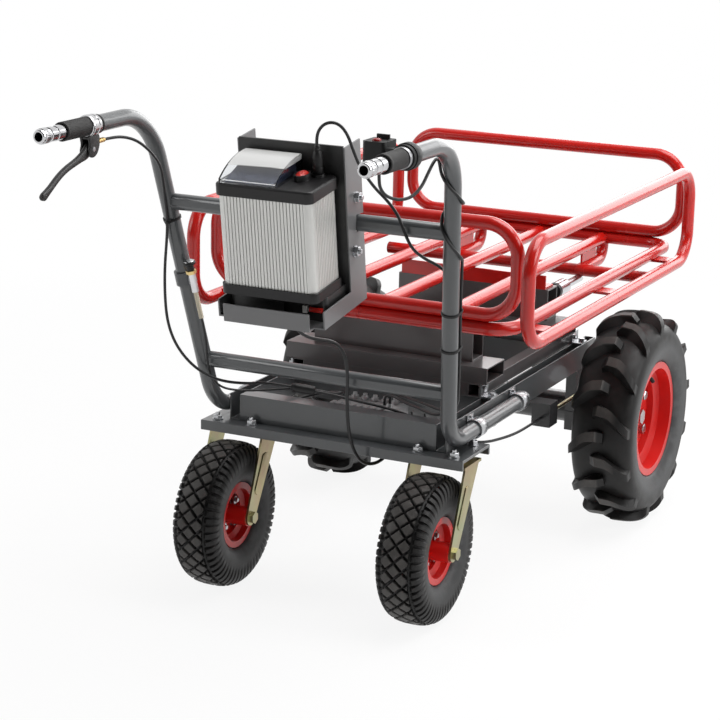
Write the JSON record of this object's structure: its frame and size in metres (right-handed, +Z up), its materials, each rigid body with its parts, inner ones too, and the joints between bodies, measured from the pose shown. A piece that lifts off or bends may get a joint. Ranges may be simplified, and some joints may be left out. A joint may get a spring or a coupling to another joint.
{
  "type": "electric wheelbarrow",
  "caption": "Battery-powered barrow with lugged drive wheels, swivel casters, bent-tube rack bed with guard loops, and upright handles with brake lever and twist throttle.",
  "frame": {"origin": "on the floor, under the middle of the barrow's length and width", "axes": "+X forwards from the grips to the front guard, +Y to the left, +Z up"},
  "size_m": [1.452, 0.746, 0.8766],
  "materials": {
    "red_paint": "glossy red powder coat over welded steel tube",
    "tyre_rubber": "matt moulded rubber",
    "red_rim": "glossy red paint on pressed steel rim",
    "bare_steel": "dull machined steel",
    "zinc": "bright zinc plate",
    "yellow_zinc": "yellow passivated zinc plate",
    "grey_paint": "glossy dark grey powder coat on steel",
    "dark_paint": "satin dark paint on steel tube",
    "mid_grey_paint": "satin grey paint on folded sheet",
    "black_paint": "satin black paint on cast and welded steel",
    "black_plastic": "moulded black plastic",
    "battery_alloy": "satin silver ribbed extrusion",
    "cell_pack": "wrapped cell pack, hidden",
    "clear_plastic": "clear moulded plastic",
    "red_lens": "glossy red plastic",
    "grip_rubber": "ribbed soft rubber",
    "chrome": "bright chrome plate",
    "alloy": "cast alloy",
    "cable_sheath": "smooth black sheath"
  },
  "bodies": {
    "chassis": {"base_frame": "grey_paint", "caster_plate": "grey_paint", "bed_subframe": "dark_paint", "bed_risers": "dark_paint", "bed_brackets": "red_paint", "bed_floor": "red_paint", "guard_front": "red_paint", "guard_rear": "red_paint", "guard_left": "red_paint", "guard_right": "red_paint", "bed_stop": "chrome", "handle_left": "grey_paint", "handle_right": "grey_paint", "handle_crossbars": "grey_paint", "handle_clamps": "zinc", "frame_bolts": "zinc", "battery_holder": "mid_grey_paint", "battery_cradle": "black_plastic", "battery_case": "battery_alloy", "battery_caps": "black_plastic", "battery_cells": "cell_pack", "battery_cord": "cable_sheath", "control_cable": "cable_sheath", "main_cable": "cable_sheath", "brake_cable": "cable_sheath", "shift_cable": "cable_sheath", "cable_ties": "black_plastic", "grip_left": "grip_rubber", "grip_end_left": "chrome", "lever_perch": "alloy", "throttle_housing": "black_plastic", "throttle_end": "chrome", "shift_bracket": "zinc", "transaxle": "black_paint", "drive_motor": "black_paint", "axle_mounts": "black_paint", "controller_box": "alloy", "brake_plates": "zinc", "caster_heads": "yellow_zinc"},
    "throttle": {"throttle_grip": "grip_rubber"},
    "brake_lever": {"brake_lever": "black_paint"},
    "brake_rods": {"brake_rods": "yellow_zinc"},
    "brake_arms": {"brake_arms": "zinc"},
    "shift_knob": {"shift_knob": "black_plastic"},
    "horn_button": {"horn_button": "red_lens"},
    "direction_switch": {"direction_switch": "black_plastic"},
    "battery_rocker": {"battery_rocker": "red_lens"},
    "battery_cover": {"battery_cover": "clear_plastic"},
    "drive_wheel_left": {"drive_hub_left": "bare_steel", "drive_rim_left": "red_rim", "drive_tyre_left": "tyre_rubber"},
    "caster_left": {"caster_fork_left": "yellow_zinc"},
    "caster_wheel_left": {"caster_rim_left": "red_rim", "caster_tyre_left": "tyre_rubber"},
    "drive_wheel_right": {"drive_hub_right": "bare_steel", "drive_rim_right": "red_rim", "drive_tyre_right": "tyre_rubber"},
    "caster_right": {"caster_fork_right": "yellow_zinc"},
    "caster_wheel_right": {"caster_rim_right": "red_rim", "caster_tyre_right": "tyre_rubber"}
  },
  "joints": [
    {"name": "drive_spin_left", "type": "hinge", "parent": "chassis", "child": "drive_wheel_left", "pos_m": [0.426, 0.3115, 0.207], "axis": [0, 1, 0], "continuous": true},
    {"name": "caster_swivel_left", "type": "hinge", "parent": "chassis", "child": "caster_left", "pos_m": [-0.209, 0.195, 0.276], "axis": [0, 0, 1], "continuous": true},
    {"name": "caster_spin_left", "type": "hinge", "parent": "caster_left", "child": "caster_wheel_left", "pos_m": [-0.281, 0.195, 0.13], "axis": [0, 1, 0], "continuous": true},
    {"name": "drive_spin_right", "type": "hinge", "parent": "chassis", "child": "drive_wheel_right", "pos_m": [0.426, -0.3115, 0.207], "axis": [0, 1, 0], "continuous": true},
    {"name": "caster_swivel_right", "type": "hinge", "parent": "chassis", "child": "caster_right", "pos_m": [-0.209, -0.195, 0.276], "axis": [0, 0, 1], "continuous": true},
    {"name": "caster_spin_right", "type": "hinge", "parent": "caster_right", "child": "caster_wheel_right", "pos_m": [-0.281, -0.195, 0.13], "axis": [0, 1, 0], "continuous": true},
    {"name": "throttle_twist", "type": "hinge", "parent": "chassis", "child": "throttle", "pos_m": [-0.619, -0.277, 0.852], "axis": [1, 0, 0], "range_deg": [0, 60], "stiffness_Nm_per_rad": 0.25, "springref_deg": -8.59},
    {"name": "brake_squeeze", "type": "hinge", "parent": "chassis", "child": "brake_lever", "pos_m": [-0.586, 0.277, 0.815], "axis": [0, 1, 0], "range_deg": [0, 25], "stiffness_Nm_per_rad": 1.5, "springref_deg": -8.59},
    {"name": "brake_pull", "type": "slide", "parent": "chassis", "child": "brake_rods", "axis": [-1, 0, 0], "range_m": [0, 0.0085]},
    {"name": "brake_arm_turn", "type": "hinge", "parent": "chassis", "child": "brake_arms", "pos_m": [0.374, 0, 0.212], "axis": [0, -1, 0], "range_deg": [0, 9.5]},
    {"name": "shift_pull", "type": "slide", "parent": "chassis", "child": "shift_knob", "axis": [-0.2473, 0.0948, 0.9643], "range_m": [0, 0.025]},
    {"name": "horn_press", "type": "slide", "parent": "chassis", "child": "horn_button", "axis": [0, 0, -1], "range_m": [0, 0.003], "stiffness_N_per_m": 300, "springref_m": -0.002},
    {"name": "direction_flip", "type": "hinge", "parent": "chassis", "child": "direction_switch", "pos_m": [-0.54482, -0.222, 0.8646], "axis": [0, 1, 0], "range_deg": [-15, 15]},
    {"name": "battery_switch", "type": "hinge", "parent": "chassis", "child": "battery_rocker", "pos_m": [-0.46002, -0.04176, 0.78371], "axis": [0, 1, 0], "range_deg": [-6, 6]},
    {"name": "battery_cover_hinge", "type": "hinge", "parent": "chassis", "child": "battery_cover", "pos_m": [-0.47006, 0.079, 0.77644], "axis": [-0.989, 0, -0.1478], "range_deg": [0, 85]}
  ],
  "couplings": [
    {"joint": "brake_pull", "follows": "brake_squeeze", "m_per_rad": 0.018335},
    {"joint": "brake_arm_turn", "follows": "brake_squeeze", "ratio": 0.3667}
  ]
}
